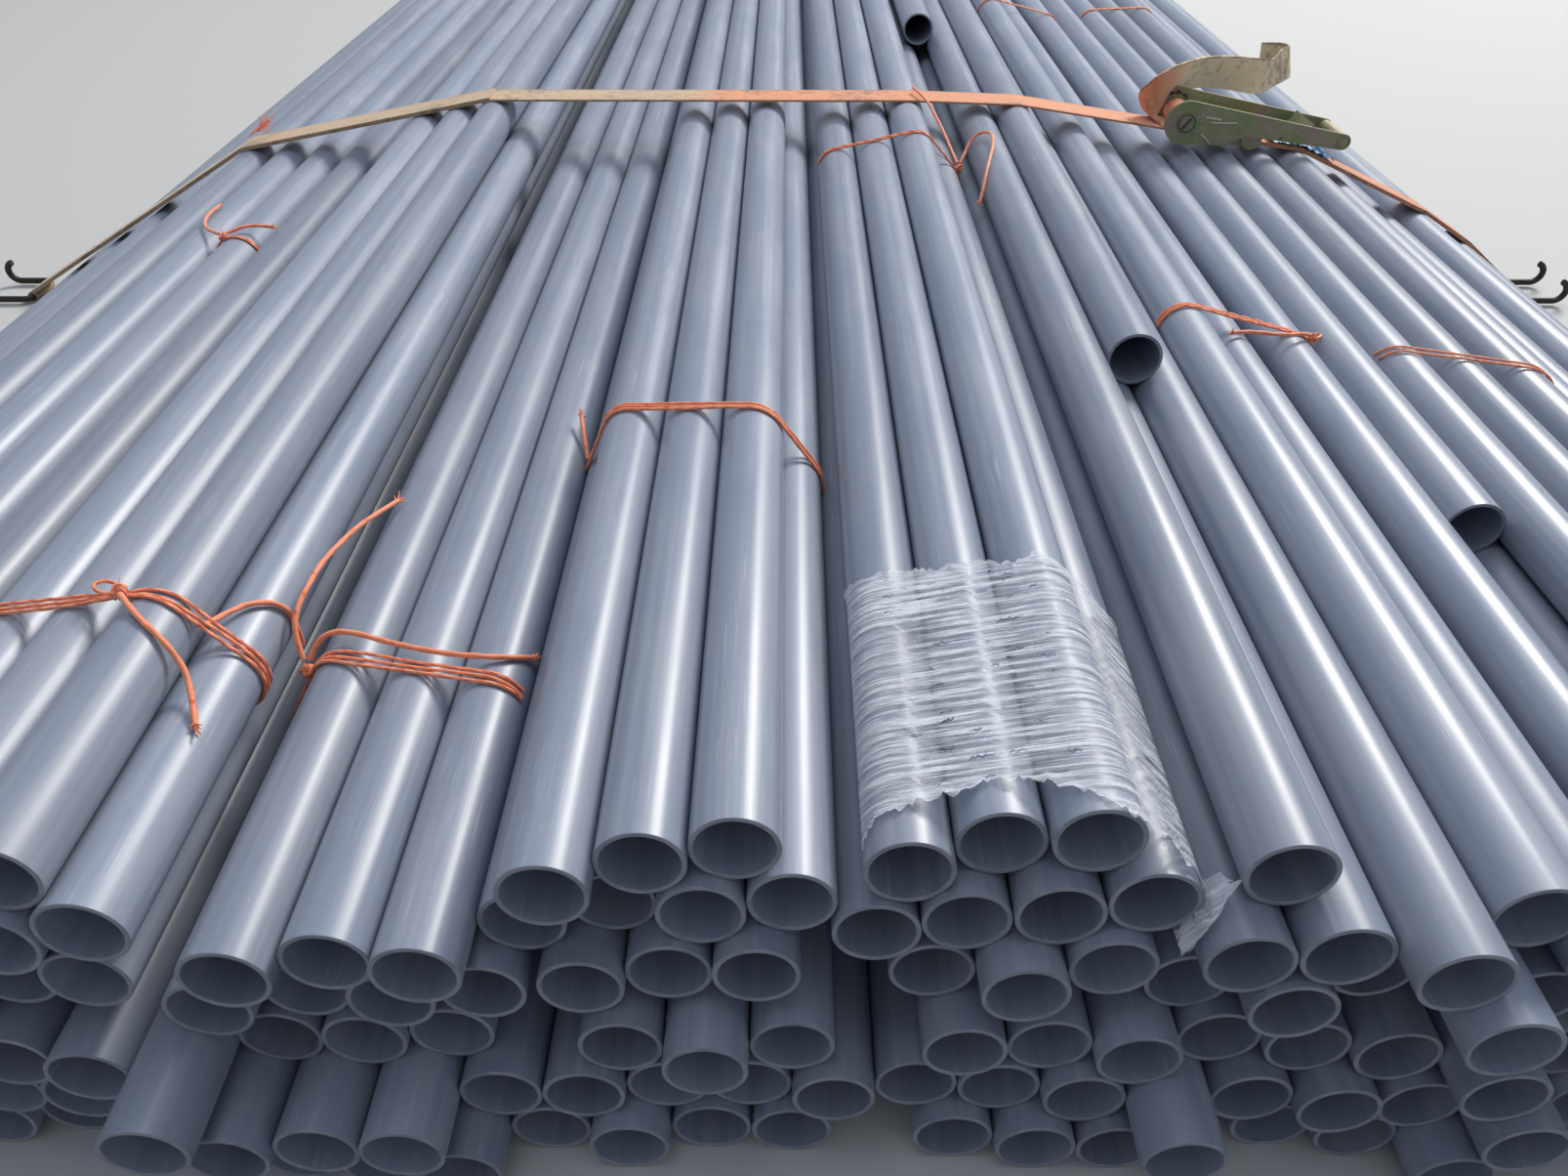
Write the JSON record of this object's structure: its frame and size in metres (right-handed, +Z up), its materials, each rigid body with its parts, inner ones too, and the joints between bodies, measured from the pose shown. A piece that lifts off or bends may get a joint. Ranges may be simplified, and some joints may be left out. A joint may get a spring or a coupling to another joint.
{
  "type": "stack of pvc pipes",
  "caption": "Long low pile of grey plastic pipes in twine-tied bundles, two layers high, lashed down with a ratchet strap.",
  "frame": {"origin": "on the floor under the middle of the pile's bounding box", "axes": "+Y along the pipes, away from the faced front ends; +Z up; +X to the right as seen from the front ends"},
  "size_m": [2.3752, 5.098, 0.3147],
  "materials": {
    "pipe": "blue-grey plastic pipe with a satin sheen, dusty, with fine scuffs along its length",
    "twine": "orange-red split-film twine, fibrous, frayed at its ends",
    "film": "clear stretch film, wrinkled, with torn edges",
    "webbing_tan": "faded and dirty woven polyester webbing, orange turned to tan",
    "webbing_orange": "orange woven polyester webbing with dirty edges",
    "label": "blank blue plastic label, creased, with worn edges",
    "hook_steel": "dark worn steel rod",
    "ratchet_steel": "olive yellow-passivated pressed steel, scuffed bright at the edges"
  },
  "bodies": {
    "stack": {"lower_bundle_1": "pipe", "lower_bundle_2": "pipe", "lower_bundle_3": "pipe", "lower_bundle_4": "pipe", "lower_bundle_5": "pipe", "lower_bundle_6": "pipe", "lower_bundle_7": "pipe", "lower_bundle_8": "pipe", "lower_bundle_9": "pipe", "ratchet_end_bolt": "ratchet_steel", "ratchet_frame": "ratchet_steel", "ratchet_frame_pawl": "ratchet_steel", "ratchet_spool_caps": "ratchet_steel", "ratchet_spool_pins": "ratchet_steel", "ratchet_wheels": "ratchet_steel", "side_pipes_left": "pipe", "side_pipes_right": "pipe", "strap_hook_left": "hook_steel", "strap_hook_right": "hook_steel", "strap_label": "label", "strap_tail": "webbing_tan", "strap_webbing_left": "webbing_tan", "strap_webbing_right": "webbing_orange", "stretch_film": "film", "top_pipe_1": "pipe", "top_pipe_2": "pipe", "top_pipe_3": "pipe", "twine_end_1a": "twine", "twine_end_1b": "twine", "twine_end_2a": "twine", "twine_end_2b": "twine", "twine_end_3a": "twine", "twine_end_3b": "twine", "twine_end_4": "twine", "twine_end_5a": "twine", "twine_end_5b": "twine", "twine_end_7": "twine", "twine_tie_1": "twine", "twine_tie_2": "twine", "twine_tie_3": "twine", "twine_tie_4": "twine", "twine_tie_5": "twine", "twine_tie_7": "twine", "twine_tie_8": "twine", "upper_bundle_1": "pipe", "upper_bundle_2": "pipe", "upper_bundle_3": "pipe", "upper_bundle_4": "pipe", "upper_bundle_5": "pipe", "upper_bundle_6": "pipe", "upper_bundle_7": "pipe", "upper_bundle_8": "pipe"},
    "handle": {"ratchet_handle": "ratchet_steel", "ratchet_handle_pawl": "ratchet_steel"}
  },
  "joints": [
    {"name": "handle_hinge", "type": "hinge", "parent": "stack", "child": "handle", "pos_m": [0.56304, -1.184, 0.26577], "axis": [0, -1, 0], "range_deg": [0, 130]}
  ]
}
